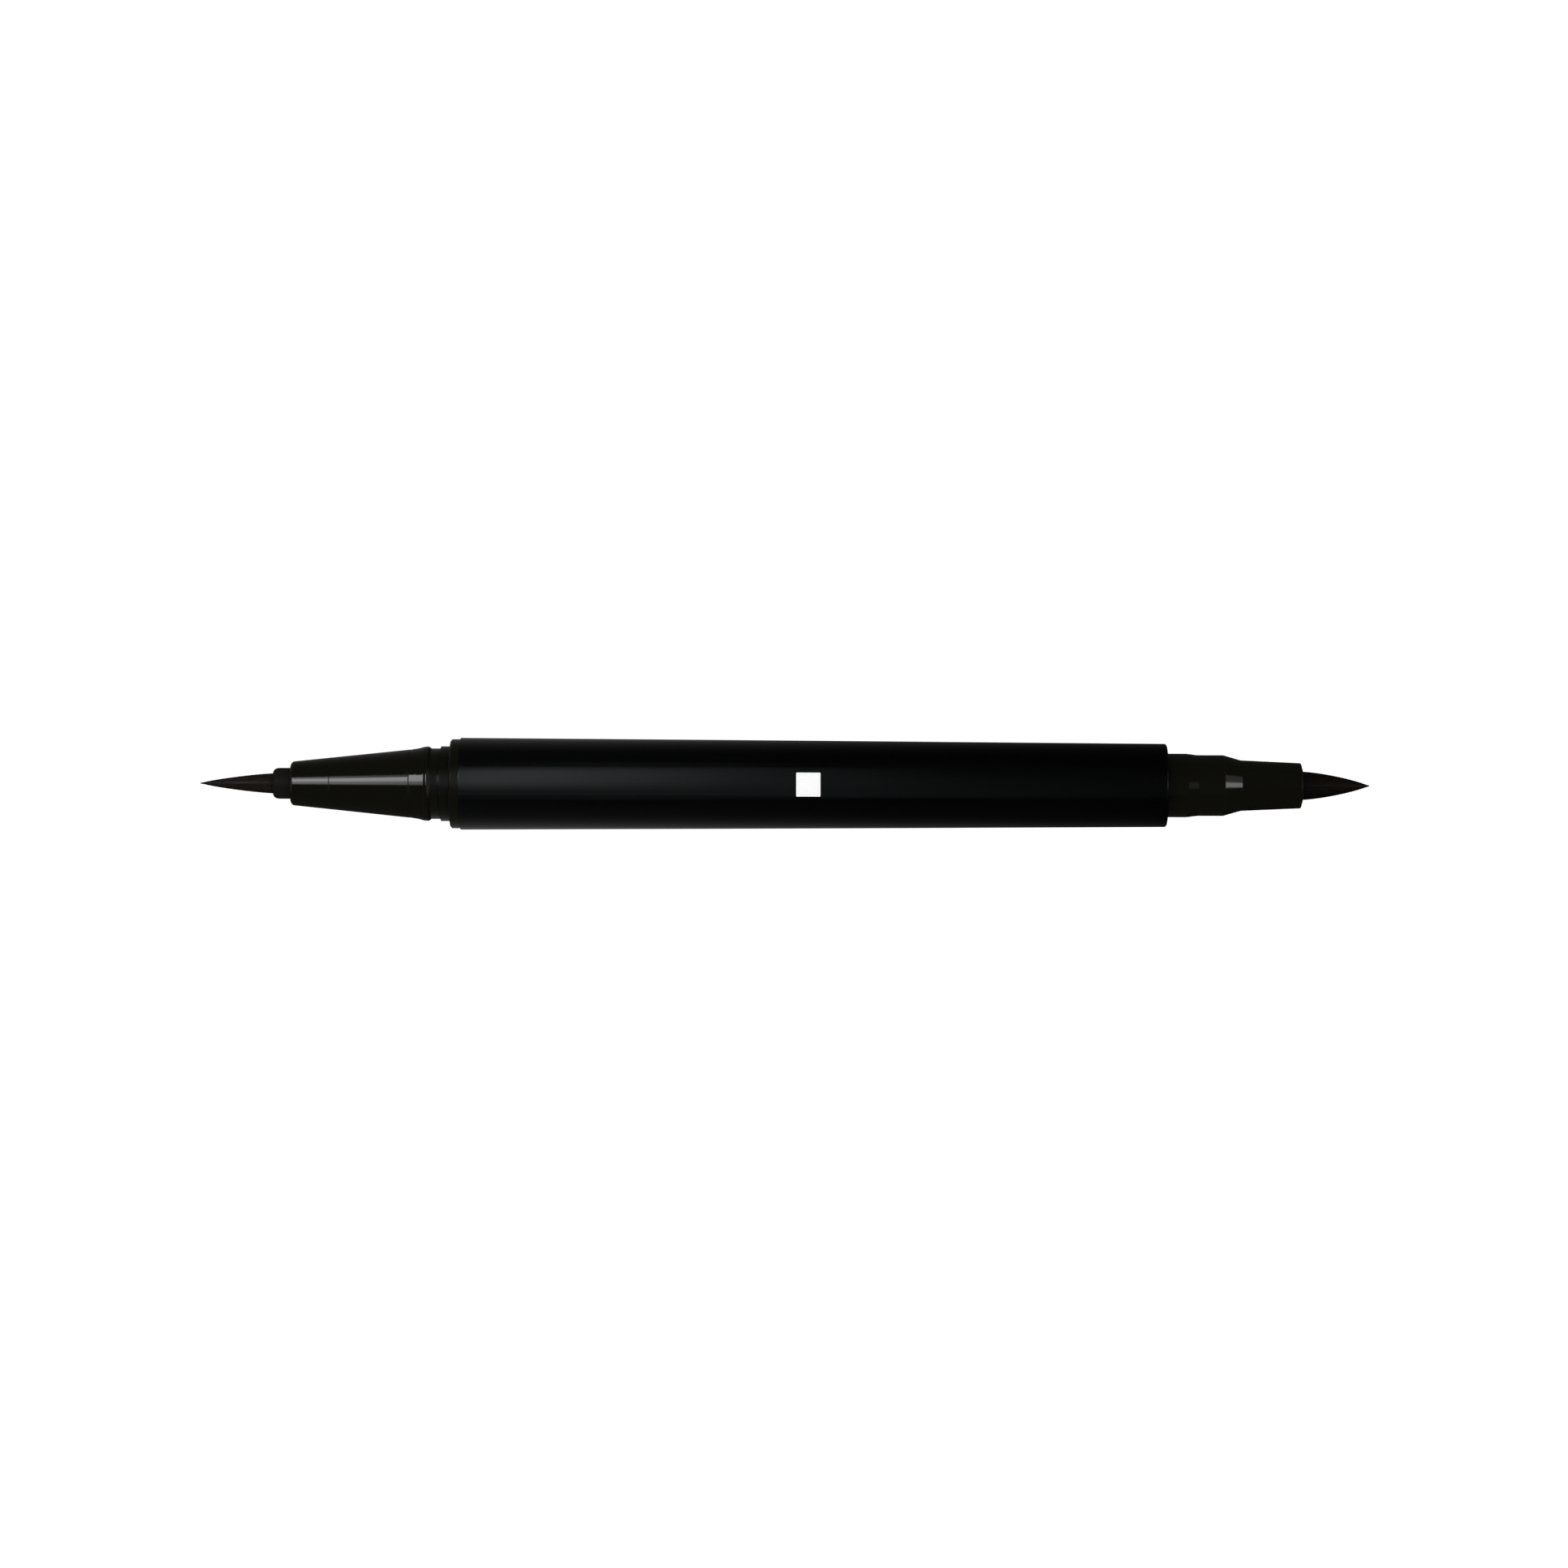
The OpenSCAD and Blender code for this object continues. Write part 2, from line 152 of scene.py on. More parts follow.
def edge_shading(points):
    """The outward normals at the ends of each edge of a closed outline, and whether it is rubbed.

    The normals are exact on flats and arcs. The tight arcs that stand out are the rubbed edges.
    """
    ring = list(zip(points, points[1:] + points[:1]))
    area = sum(p.x * q.y - q.x * p.y for (p, _), (q, _) in ring)
    shading = []
    for (p, p_centre), (q, q_centre) in ring:
        flat = Vector((q.y - p.y, p.x - q.x)).normalized() * math.copysign(1, area)
        if p_centre is None or p_centre is not q_centre:
            shading.append((flat, flat, False))
            continue
        stands_out = (p - p_centre).dot(flat) > 0
        turn = 1 if stands_out else -1
        ends = ((point - p_centre).normalized() * turn for point in (p, q))
        shading.append((*ends, stands_out and (p - p_centre).length < RUBBED_R))
    return shading


def new_object(name, bm):
    """Turns a bmesh into a smooth object with its faces outward."""
    bmesh.ops.recalc_face_normals(bm, faces=bm.faces)
    mesh = bpy.data.meshes.new(name)
    bm.to_mesh(mesh)
    bm.free()
    mesh.shade_smooth()
    obj = bpy.data.objects.new(name, mesh)
    bpy.context.scene.collection.objects.link(obj)
    return obj


def turned(name, side, outline, steps=6):
    """A closed ring of revolution about the pen's axis, shaded with its outline's exact normals."""
    bm = bmesh.new()
    points = rounded(outline, steps)
    count = len(points)
    spokes = [
        Vector((0, math.cos(a), math.sin(a)))
        for a in (2 * math.pi * k / SEGMENTS for k in range(SEGMENTS))
    ]
    rings = [
        [
            bm.verts.new(AXIS + Vector((FACE_X[side] + side * p.x * MM, 0, 0)) + spoke * p.y * MM)
            for p, _ in points
        ]
        for spoke in spokes
    ]
    for k in range(SEGMENTS):
        this, other = rings[k], rings[(k + 1) % SEGMENTS]
        for j in range(count):
            n = (j + 1) % count
            bm.faces.new((this[j], this[n], other[n], other[j]))
    obj = new_object(name, bm)

    shading = edge_shading(points)
    mesh = obj.data
    loop_normals = []
    rubbed = []
    for face in mesh.polygons:
        edge = face.index % count
        for index in face.vertices:
            spoke, point = divmod(index, count)
            n = shading[edge][0 if point == edge else 1]
            loop_normals.append(Vector((side * n.x, 0, 0)) + spokes[spoke] * n.y)
            rubbed.append(float(shading[edge][2]))
    mesh.normals_split_custom_set(loop_normals)
    mesh.attributes.new("rubbed", "FLOAT", "CORNER").data.foreach_set("value", rubbed)
    return obj


def piece(obj, body, slot, *nodes):
    """Sets what a rigid piece rides on and the finish it has, and hides the CAD nodes it stands
    for.
    """
    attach(obj, body)
    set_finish(obj, slot)
    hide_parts(*nodes)
    return obj


# ---- Barrel ----

BARREL_R = {FINE: radius("barrel"), BOLD: 5.01}

# The fine section's spigot and the divider plug fill the same bore
FINE_SPIGOT_R = radius("divider_plug")
BORE_R = {FINE: FINE_SPIGOT_R + SLIP, BOLD: radius("bold_section") + SLIP}


def barrel_radius(distance):
    """Outer radius at a distance along the barrel from its fine end, in mm, without the crown."""
    share = distance / BARREL_LEN
    return BARREL_R[FINE] + (BARREL_R[BOLD] - BARREL_R[FINE]) * share


def make_barrel():
    """The slightly crowned tapered tube, with the step that the divider plug rests on."""
    divider_nose = 2
    bore_step = (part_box("divider_plug")[1].x - FACE_X[FINE]) / MM - divider_nose
    fine, bold = BORE_R[FINE], BORE_R[BOLD]
    chamfer = 0.2
    bevel = 0.16
    edge = 0.06
    crown = 0.026
    middle = BARREL_LEN / 2
    # A rounding too large to fit, so that its arc takes up nearly the whole length
    whole = 1e6
    along = [
        (0, fine + chamfer, CRISP), (0, BARREL_R[FINE], CRISP),
        (middle, barrel_radius(middle) + crown, whole),
        (BARREL_LEN - bevel, BARREL_R[BOLD], edge), (BARREL_LEN, BARREL_R[BOLD] - bevel, edge),
        (BARREL_LEN, bold + chamfer, CRISP), (BARREL_LEN - chamfer, bold, INNER),
        (bore_step, bold, INNER), (bore_step, fine, INNER), (chamfer, fine, INNER),
    ]
    # Distances outward from the fine end face are negative along the barrel
    return turned("barrel_shell", FINE, [(-d, r, rounding) for d, r, rounding in along])


def make_label():
    """A thin square sticker bent round the top of the barrel, with its corners slightly rounded."""
    low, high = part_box("label")
    middle = (low + high) / 2
    half = (high.x - low.x) / 2
    thickness = 0.07 * MM
    # It clears the barrel's crown, which barrel_radius leaves out
    lift = 0.026 * MM
    corner = 0.08 * MM
    cells = 28
    bm = bmesh.new()

    def inset(a, b):
        """Pulls a point of the square in to the rounded corner."""
        u, v = abs(a) - (half - corner), abs(b) - (half - corner)
        if u <= 0 or v <= 0:
            return a, b
        over = max(u, v) / math.hypot(u, v)
        return (
            math.copysign(half - corner + u * over, a),
            math.copysign(half - corner + v * over, b),
        )

    def layer(height):
        """The grid of one side of the sticker, at a height above the barrel."""
        rows = []
        for i in range(cells + 1):
            row = []
            for j in range(cells + 1):
                a, b = inset(half * (2 * i / cells - 1), half * (2 * j / cells - 1))
                x = middle.x + a
                r = barrel_radius((x - FACE_X[FINE]) / MM) * MM + height
                turn = b / r
                spoke = Vector((0, math.sin(turn), math.cos(turn)))
                row.append(bm.verts.new(AXIS + Vector((x, 0, 0)) + spoke * r))
            rows.append(row)
        return rows

    top, under = layer(lift + thickness), layer(lift)
    for i in range(cells):
        for j in range(cells):
            for rows in (top, under):
                bm.faces.new((rows[i][j], rows[i + 1][j], rows[i + 1][j + 1], rows[i][j + 1]))
    last = cells
    rim = [(i, 0) for i in range(last)] + [(last, j) for j in range(last)]
    rim += [(last - i, last) for i in range(last)] + [(0, last - j) for j in range(last)]
    for (i, j), (m, n) in zip(rim, rim[1:] + rim[:1]):
        bm.faces.new((top[i][j], top[m][n], under[m][n], under[i][j]))
    obj = new_object("label_sticker", bm)
    obj.modifiers.new("flats", "WEIGHTED_NORMAL")
    return obj


# ---- Fine end ----

COLLAR_FRONT = reach("fine_brush_holder", FINE)[1]
GRIP_FRONT = reach("fine_section", FINE)[1]
SHANK_R = 1.63
FINE_BORE_R = radius("fine_bristle_root") + SLIP


def o_ring_groove(seal, side, bore_r, floor_r, width):
    """The corners of an O-ring's groove, from its outer side inward."""
    low, high = reach(seal, side)
    middle = (low + high) / 2
    return [
        (middle + width / 2, bore_r, CRISP), (middle + width / 2, floor_r, INNER),
        (middle - width / 2, floor_r, INNER), (middle - width / 2, bore_r, CRISP),
    ]


def make_fine_grip():
    """Grip cone, snap bead, neck, cap seat, shoulder, and the spigot hidden in the barrel."""
    front_r, back_r, grip_back = 2.62, 4.11, 6.05
    bead_foot, bead_foot_r = 5.1, back_r + 0.14
    crest, crest_r = 3.9, 4.49
    neck_back, neck_r = 3.5, 4.25
    seat, seat_r = 2.35, 4.51
    shoulder, shoulder_r, bevel = 1.2, 5.37, 0.2
    end = reach("fine_section", FINE)[0]

    # Half width of three fine lines: raised at tick, sunk at grip_back, and raised at neck_line
    line = 0.06
    tick = GRIP_FRONT - 4.8
    tick_r = back_r + (front_r - back_r) * (tick - grip_back) / (GRIP_FRONT - grip_back)
    tick_drop = 0.006
    neck_line = seat + 0.2

    # Bores for the collector's comb and the feed rod
    comb_r, feed_r = 3.3, 2.2
    comb_front = GRIP_FRONT - 13
    shank_r = SHANK_R + SLIP
    shank_back = reach("fine_brush_holder", FINE)[0] - 0.1

    # Rounding of the edges that catch the light as hairlines
    hair = 0.01
    cone = [
        (GRIP_FRONT, shank_r, INNER), (GRIP_FRONT, front_r, 0.5),
        (tick + line, tick_r - tick_drop, 0), (tick, tick_r + 0.02, CRISP),
        (tick - line, tick_r + tick_drop, 0),
        (grip_back + line, back_r, CRISP), (grip_back, back_r - 0.05, CRISP),
        (grip_back - line, back_r, CRISP),
    ]
    bead = [
        (bead_foot, bead_foot_r, 1.2),
        (crest + 0.4, crest_r - 0.03, 0.6), (crest + 0.08, crest_r - 0.015, hair),
        (crest, crest_r, hair), (crest - 0.04, crest_r, 2 * hair),
    ]
    neck = [
        (neck_back, neck_r, INNER), (neck_line + line / 3, neck_r, hair),
        (neck_line, neck_r + 0.005, hair), (neck_line - line, neck_r, CRISP),
    ]
    seat_and_shoulder = [
        (seat + 0.04, neck_r, CRISP), (seat, seat_r, 1.2 * hair), (shoulder, seat_r, CRISP),
        (shoulder, shoulder_r - bevel, 0.04), (shoulder - bevel, shoulder_r, 0.04),
        (0, shoulder_r, CRISP),
    ]
    spigot = [
        (0, FINE_SPIGOT_R, 0.04),
        *o_ring_groove("fine_section_seal", FINE, FINE_SPIGOT_R, 3.75, 1.1),
        (end, FINE_SPIGOT_R, LEAD),
    ]
    bore = [
        (end, comb_r, INNER), (comb_front, comb_r, INNER), (comb_front, feed_r, INNER),
        (shank_back, feed_r, INNER), (shank_back, shank_r, INNER),
    ]
    outline = cone + bead + neck + seat_and_shoulder + spigot + bore
    return turned("fine_grip", FINE, outline)


def make_fine_collar():
    """Round-nosed collar round the brush, with its countersunk mouth and its shank."""
    collar_r = radius("fine_brush_holder")
    back = reach("fine_brush_holder", FINE)[0]
    rod_stop = COLLAR_FRONT - 5.5
    rod_r = radius("fine_feed_rod") + SLIP
    sink_w, sink_depth = 0.12, 0.4
    nose_len, nose_w = 0.75, 0.47
    facets = 10
    # A rounding too large to fit, so that the facets join in one curve
    smooth = 9
    nose = [
        (COLLAR_FRONT - nose_len * (1 - math.cos(a)), collar_r - nose_w * (1 - math.sin(a)), smooth)
        for a in (math.radians(90 * k / facets) for k in range(facets + 1))
    ]
    corners = [
        (COLLAR_FRONT, FINE_BORE_R + sink_w, 0.02), *nose,
        (GRIP_FRONT, collar_r, CRISP), (GRIP_FRONT, SHANK_R, CRISP), (back, SHANK_R, LEAD),
        (back, rod_r, INNER), (rod_stop, rod_r, CRISP), (rod_stop, FINE_BORE_R, CRISP),
        (COLLAR_FRONT - sink_depth, FINE_BORE_R, 0.1),
    ]
    return turned("fine_collar", FINE, corners)


# ---- Bold end ----

NOSE_FRONT = reach("bold_brush_tube", BOLD)[1]
TUBE_R = 2.2
BOLD_BORE_R = radius("bold_bristle_root") + SLIP


def make_bold_nose():
    """Cap seat, waist, slope, tapered nose with a bevelled front, and the hidden spigot."""
    spigot_r = radius("bold_section")
    seat, seat_r = 2.4, 3.83
    waist, waist_r, ease = 3.75, 3.66, 1.6
    slope, slope_end = 6.85, 8.95
    nose_r, front_r = 3.05, 2.73
    bevel = 0.1
    end = reach("bold_section", BOLD)[0]
    tube_r = TUBE_R + SLIP
    tube_back = NOSE_FRONT - 8
    cavity_r, cavity_cone = 2.9, 0.3
    corners = [
        (end, cavity_r, INNER), (end, spigot_r, LEAD),
        *reversed(o_ring_groove("bold_section_seal", BOLD, spigot_r, 3.4, 1.05)),
        (0, spigot_r, 0.04), (0, seat_r, CRISP), (seat, seat_r, ease), (waist, waist_r, ease),
        (slope, waist_r, 0.25), (slope_end, nose_r, 0.35), (NOSE_FRONT - 0.24, front_r, 0.06),
        (NOSE_FRONT - 0.14, front_r - bevel, 0.08), (NOSE_FRONT - 0.1, tube_r, 0.02),
        (tube_back, tube_r, INNER), (tube_back - cavity_cone, cavity_r, INNER),
    ]
    return turned("bold_nose", BOLD, corners)


def make_bold_ferrule():
    """The inner tube, whose rounded rim shows round the root of the bold brush."""
    flange_r, flange_len = radius("bold_brush_tube"), 0.8
    back = reach("bold_brush_tube", BOLD)[0]
    cone_front = NOSE_FRONT - 8.1
    rod_stop = back + 2
    rod_r = radius("bold_feed_rod") + SLIP
    sink_w, sink_depth = 0.24, 0.5
    corners = [
        (NOSE_FRONT, BOLD_BORE_R + sink_w, 0.02), (NOSE_FRONT, TUBE_R, 0.15),
        (cone_front, TUBE_R, INNER), (back + flange_len, flange_r, INNER), (back, flange_r, LEAD),
        (back, rod_r, INNER), (rod_stop, rod_r, INNER), (rod_stop, BOLD_BORE_R, INNER),
        (NOSE_FRONT - sink_depth, BOLD_BORE_R, 0.1),
    ]
    return turned("bold_ferrule", BOLD, corners)


# ---- Brushes ----

# How far the bristles run into the mouth, the radius that they gather to, and how full the point is
TUFT_ROOT = 1.2
TIP_R = 0.06
TIP_FULLNESS = 0.9


def make_tuft(name, node, side, mouth, belly, bristle_d, seed):
    """A brush of separate tapered bristles on a core, bending from the mouth outward."""
    steps = 16
    core_steps = 24
    cut_back = 0.22
    taper_from, taper = 0.75, 0.8
    thinnest = 0.12
    rng = random.Random(seed)
    length = reach(node, side)[1] - mouth
    tuft_r = radius(node)
    bm = bmesh.new()

    def ogive(d):
        """Radius of the brush at a distance d outward from the mouth, in mm."""
        t = max(0, d / length)
        return max(TIP_R, (1 - t) * (tuft_r + 4 * belly * t + TIP_FULLNESS * t ** 6))

    def tube(stations, sides):
        """A closed tube through (distance, offset from the axis, angle, half width) stations."""
        rings = []
        for d, r, a, w in stations:
            out = Vector((0, math.cos(a), math.sin(a)))
            across = Vector((0, -math.sin(a), math.cos(a)))
            centre = AXIS + Vector((FACE_X[side] + side * (mouth + d) * MM, 0, 0)) + out * r * MM
            turns = [2 * math.pi * k / sides for k in range(sides)]
            rings.append([
                bm.verts.new(centre + (out * math.cos(q) + across * math.sin(q)) * w * MM)
                for q in turns
            ])
        for ring, ahead in zip(rings, rings[1:]):
            for k in range(sides):
                n = (k + 1) % sides
                bm.faces.new((ring[k], ring[n], ahead[n], ahead[k]))
        bm.faces.new(rings[0])
        bm.faces.new(rings[-1])

    def bristle(share, start_angle):
        """One bristle at a share of the brush's radius, from the root to its own cut length."""
        end = length * (1 - cut_back * rng.random() ** 2)
        thick = bristle_d / 2 * rng.uniform(0.9, 1.08)
        wander = rng.uniform(-0.06, 0.06)
        sink = rng.uniform(0, 0.025)
        stations = []
        for i in range(steps + 1):
            s = i / steps
            d = -TUFT_ROOT + (end + TUFT_ROOT) * s
            outer = ogive(d)
            thinned = 1 - max(0, (s - taper_from) / (1 - taper_from)) ** 2 * taper
            w = thick * max(outer / tuft_r, thinnest) * thinned
            r = share * (outer * (1 - sink) - w)
            stations.append((d, r, start_angle + wander * math.sin(math.pi * s), w))
        tube(stations, 6)

    for share in (1.0, 0.9, 0.78):
        count = int(2 * math.pi * share * (tuft_r - bristle_d / 2) / bristle_d)
        for k in range(count):
            bristle(share, 2 * math.pi * (k + rng.uniform(-0.2, 0.2)) / count)

    core = []
    for i in range(core_steps + 1):
        d = -TUFT_ROOT + (length + TUFT_ROOT) * i / core_steps
        core.append((d, 0, 0, max(TIP_R, ogive(d) * (1 - 0.5 * bristle_d / tuft_r))))
    tube(core, 48)
    obj = new_object(name, bm)
    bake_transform(obj)
    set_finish(obj, "bristle_nylon")
    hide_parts(node)
    return obj


# ---- Materials ----


class Nodes:
    """A node tree, with short ways to add nodes and link them."""

    def __init__(self, tree):
        self.tree = tree

    def node(self, kind, inputs=(), **settings):
        made = self.tree.nodes.new(kind)
        for key, value in settings.items():
            setattr(made, key, value)
        for key, value in dict(inputs).items():
            self.set(made.inputs[key], value)
        return made

    def set(self, socket, value):
        if isinstance(value, bpy.types.NodeSocket):
            self.tree.links.new(value, socket)
        else:
            socket.default_value = value

    def math(self, operation, *values):
        return self.node("ShaderNodeMath", enumerate(values), operation=operation).outputs[0]

    def times(self, first, *others):
        for other in others:
            first = self.math("MULTIPLY", first, other)
        return first

    def plus(self, first, *others):
        for other in others:
            first = self.math("ADD", first, other)
        return first

    def minus(self, first, other):
        return self.math("SUBTRACT", first, other)

    def spread(self, value, low, high, to_low, to_high):
        """Maps the range from low to high onto the one from to_low to to_high, and clamps it."""
        made = self.node("ShaderNodeMapRange", {
            "Value": value, "From Min": low, "From Max": high, "To Min": to_low, "To Max": to_high,
        })
        return made.outputs["Result"]

    def window(self, value, low, high, soft, level=1.0):
        """level between low and high, and 0 outside, with edges as wide as twice soft."""
        rise = self.spread(value, low - soft, low + soft, 0, level)
        return self.times(rise, self.spread(value, high - soft, high + soft, 1, 0))

    def mix(self, factor, a, b):
        made = self.node("ShaderNodeMix", data_type="RGBA")
        for index, value in ((0, factor), (6, a), (7, b)):
            self.set(made.inputs[index], value)
        return made.outputs[2]


class Shader(Nodes):
    """A node material with its principled shader."""

    def __init__(self, name, **values):
        self.material = bpy.data.materials.new(name)
        self.material.use_nodes = True
        super().__init__(self.material.node_tree)
        self.surface = next(n for n in self.tree.nodes if n.type == "BSDF_PRINCIPLED")
        for key, value in values.items():
            self.surface.inputs[key.replace("_", " ")].default_value = value
        self.place = self.node("ShaderNodeTexCoord").outputs["Object"]

    def feed(self, key, output):
        self.tree.links.new(output, self.surface.inputs[key])

    def noise(self, size_mm, stretch=(1, 1, 1), detail=3, roughness=0.55, offset=0.0):
        """Noise with features of about size_mm, stretched along X, Y and Z by the factors given."""
        scale = tuple(1 / (size_mm * MM * s) for s in stretch)
        mapping = self.node("ShaderNodeMapping", {
            "Vector": self.place, "Scale": scale, "Location": (offset,) * 3,
        })
        made = self.node("ShaderNodeTexNoise", {
            "Vector": mapping.outputs[0], "Scale": 1, "Detail": detail, "Roughness": roughness,
        })
        return made.outputs["Fac"]

    def bump(self, height, depth_mm):
        made = self.node("ShaderNodeBump", {
            "Height": height, "Distance": depth_mm * MM, "Strength": 1.0,
        })
        self.feed("Normal", made.outputs[0])


def rgba(r, g, b):
    return (r, g, b, 1)


def moulded_plastic(name, dark, light, roughness, grain_mm, grain_depth_mm, **values):
    """Moulded plastic: cloudy gloss, a fine skin grain, hairline scuffs and rubbed edges."""
    scuff_wear, rubbed_wear = 0.2, 0.25
    made = Shader(name, **values)
    cloud = made.noise(6, stretch=(2.5, 1, 1), detail=4)
    grain = made.noise(grain_mm, detail=2)
    hairline = made.noise(0.35, stretch=(14, 0.35, 0.35), detail=4, roughness=0.7, offset=5.7)
    scuff = made.spread(hairline, 0.68, 0.8, 0, 1)
    edge = made.node("ShaderNodeAttribute", attribute_name="rubbed").outputs["Fac"]
    rubbed = made.times(edge, made.spread(cloud, 0.35, 0.6, 0.2, 1))
    wear = made.math("MAXIMUM", made.times(scuff, scuff_wear), made.times(rubbed, rubbed_wear))
    made.feed("Base Color", made.mix(wear, rgba(*dark), rgba(*light)))
    gloss = made.spread(cloud, 0.3, 0.7, roughness * 0.88, roughness * 1.12)
    made.feed("Roughness", made.plus(gloss, made.times(wear, 0.12)))
    made.bump(made.minus(grain, made.times(scuff, 0.4)), grain_depth_mm)
    return made.material


def sticker_paper(name):
    """White label paper with a thin pale frame. Its print is left out."""
    inset, half_line, soft, ink_level = 0.22 * MM, 0.03 * MM, 0.015 * MM, 0.1
    made = Shader(name)
    low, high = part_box("label")
    middle, half = (low + high) / 2, (high.x - low.x) / 2
    axes = made.node("ShaderNodeSeparateXYZ", {0: made.place})
    off = [made.math("ABSOLUTE", made.minus(axes.outputs[i], middle[i])) for i in (0, 1)]
    reached = made.math("MAXIMUM", *off)
    line = half - inset
    ink = made.window(reached, line - half_line, line + half_line, soft, ink_level)
    fibre = made.noise(0.12, stretch=(2, 1, 1), detail=4)
    shade = made.spread(fibre, 0.35, 0.65, 0, 1)
    paper = made.mix(shade, rgba(0.86, 0.86, 0.86), rgba(0.92, 0.92, 0.915))
    made.feed("Base Color", made.mix(ink, paper, rgba(0.06, 0.06, 0.065)))
    made.feed("Roughness", made.spread(fibre, 0.3, 0.7, 0.45, 0.62))
    made.bump(fibre, 0.004)
    return made.material


def bristle_nylon(name):
    """Black nylon bristles, each a slightly different tone, with a soft sheen along them."""
    made = Shader(name, Specular_IOR_Level=0.12)
    strand = made.noise(0.16, stretch=(30, 1, 1), detail=3, roughness=0.7)
    tone = made.spread(strand, 0.35, 0.65, 0, 1)
    fine = made.mix(tone, rgba(0.005, 0.0033, 0.0029), rgba(0.007, 0.0049, 0.0044))
    bold = made.mix(tone, rgba(0.0015, 0.0011, 0.0005), rgba(0.003, 0.0023, 0.0013))
    x = made.node("ShaderNodeSeparateXYZ", {0: made.place}).outputs[0]
    made.feed("Base Color", made.mix(made.spread(x, -0.03, 0.03, 0, 1), fine, bold))
    made.feed("Roughness", made.spread(strand, 0.3, 0.7, 0.3, 0.5))
    made.bump(made.noise(0.05, stretch=(12, 1, 1), detail=2), 0.002)
    return made.material


def fibre_rod(name, low, high, grain_mm):
    """Bundled polyester fibre with its grain along the pen."""
    made = Shader(name, Roughness=0.85)
    grain = made.noise(grain_mm, stretch=(25, 1, 1), detail=5, roughness=0.7)
    made.feed("Base Color", made.mix(made.spread(grain, 0.35, 0.65, 0, 1), rgba(*low), rgba(*high)))
    made.feed("Roughness", made.spread(grain, 0.3, 0.7, 0.75, 0.95))
    made.bump(grain, 0.05)
    return made.material


def plain_plastic(name, low, high, roughness, **values):
    """Unfinished inner moulding with faint flow marks."""
    made = Shader(name, Roughness=roughness, **values)
    flow = made.noise(2.5, stretch=(4, 1, 1), detail=5)
    made.feed("Base Color", made.mix(made.spread(flow, 0.35, 0.65, 0, 1), rgba(*low), rgba(*high)))
    made.feed("Roughness", made.spread(flow, 0.3, 0.7, roughness - 0.05, roughness + 0.05))
    made.bump(made.noise(0.25, detail=2), 0.003)
    return made.material


def metal(name, colour, roughness, stretch):
    """Steel with drawn or polishing marks."""
    made = Shader(name, Metallic=1.0, Roughness=roughness)
    marks = made.noise(0.08, stretch=stretch, detail=4, roughness=0.65)
    dull = tuple(c * 0.8 for c in colour)
    tone = made.spread(marks, 0.3, 0.7, 0, 1)
    made.feed("Base Color", made.mix(tone, rgba(*colour), rgba(*dull)))
    made.feed("Roughness", made.spread(marks, 0.3, 0.7, roughness - 0.04, roughness + 0.08))
    made.bump(marks, 0.001)
    return made.material


MATERIALS = {
    "barrel_plastic": moulded_plastic(
        "black_barrel_plastic", (0.0006, 0.0007, 0.0007), (0.003, 0.0033, 0.0035),
        0.1, 0.5, 0.0005, IOR=1.5,
    ),
    "section_plastic": moulded_plastic(
        "warm_black_plastic", (0.0037, 0.0036, 0.0024), (0.012, 0.011, 0.009),
        0.1, 0.35, 0.0005, IOR=1.5, Specular_IOR_Level=0.25,
    ),
    "collar_plastic": moulded_plastic(
        "satin_black_plastic", (0.0074, 0.0064, 0.0052), (0.012, 0.011, 0.009),
        0.5, 0.2, 0.001, IOR=1.5, Specular_IOR_Level=0.04,
    ),
    "label_paper": sticker_paper("sticker_paper"),
    "bristle_nylon": bristle_nylon("black_bristles"),
    "inner_plastic": plain_plastic("grey_inner_plastic", (0.1, 0.1, 0.11), (0.14, 0.14, 0.15), 0.5),
    "clear_plastic": plain_plastic(
        "milky_plastic", (0.72, 0.76, 0.79), (0.82, 0.85, 0.87), 0.3, Transmission_Weight=0.45,
    ),
    "film_plastic": plain_plastic(
        "clear_film", (0.85, 0.9, 0.93), (0.92, 0.95, 0.97), 0.12, Transmission_Weight=0.8,
    ),
    "seal_rubber": plain_plastic("seal_rubber", (0.012, 0.012, 0.012), (0.022, 0.022, 0.022), 0.6),
    "feed_fibre": fibre_rod("feed_fibre", (0.7, 0.67, 0.58), (0.86, 0.84, 0.77), 0.12),
    "reservoir_fibre": fibre_rod("reservoir_fibre", (0.72, 0.7, 0.63), (0.9, 0.88, 0.82), 0.25),
    "steel_pipe": metal("drawn_steel", (0.62, 0.62, 0.63), 0.25, (20, 1, 1)),
    "ball_steel": metal("polished_steel", (0.72, 0.72, 0.73), 0.08, (1, 1, 1)),
}


def paint(obj, slot):
    obj.data.materials.clear()
    obj.data.materials.append(MATERIALS[slot])


# ---- The pieces ----

barrel = piece(make_barrel(), "pen", "barrel_plastic", "barrel")
label = piece(make_label(), "pen", "label_paper", "label")
grip = piece(make_fine_grip(), "pen", "section_plastic", "fine_section")
collar = piece(make_fine_collar(), "pen", "collar_plastic", "fine_brush_holder")
nose = piece(make_bold_nose(), "pen", "section_plastic", "bold_section")
ferrule = piece(make_bold_ferrule(), "pen", "collar_plastic", "bold_brush_tube")
fine_tuft = make_tuft(
    "fine_tuft", "fine_bristle_tip", FINE, COLLAR_FRONT,
    belly=0.18, bristle_d=0.085, seed=11,
)
bold_tuft = make_tuft(
    "bold_tuft", "bold_bristle_tip", BOLD, NOSE_FRONT,
    belly=0.29, bristle_d=0.1, seed=23,
)
for obj in (barrel, label, grip, collar, nose, ferrule, fine_tuft, bold_tuft):
    paint(obj, obj["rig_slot"])

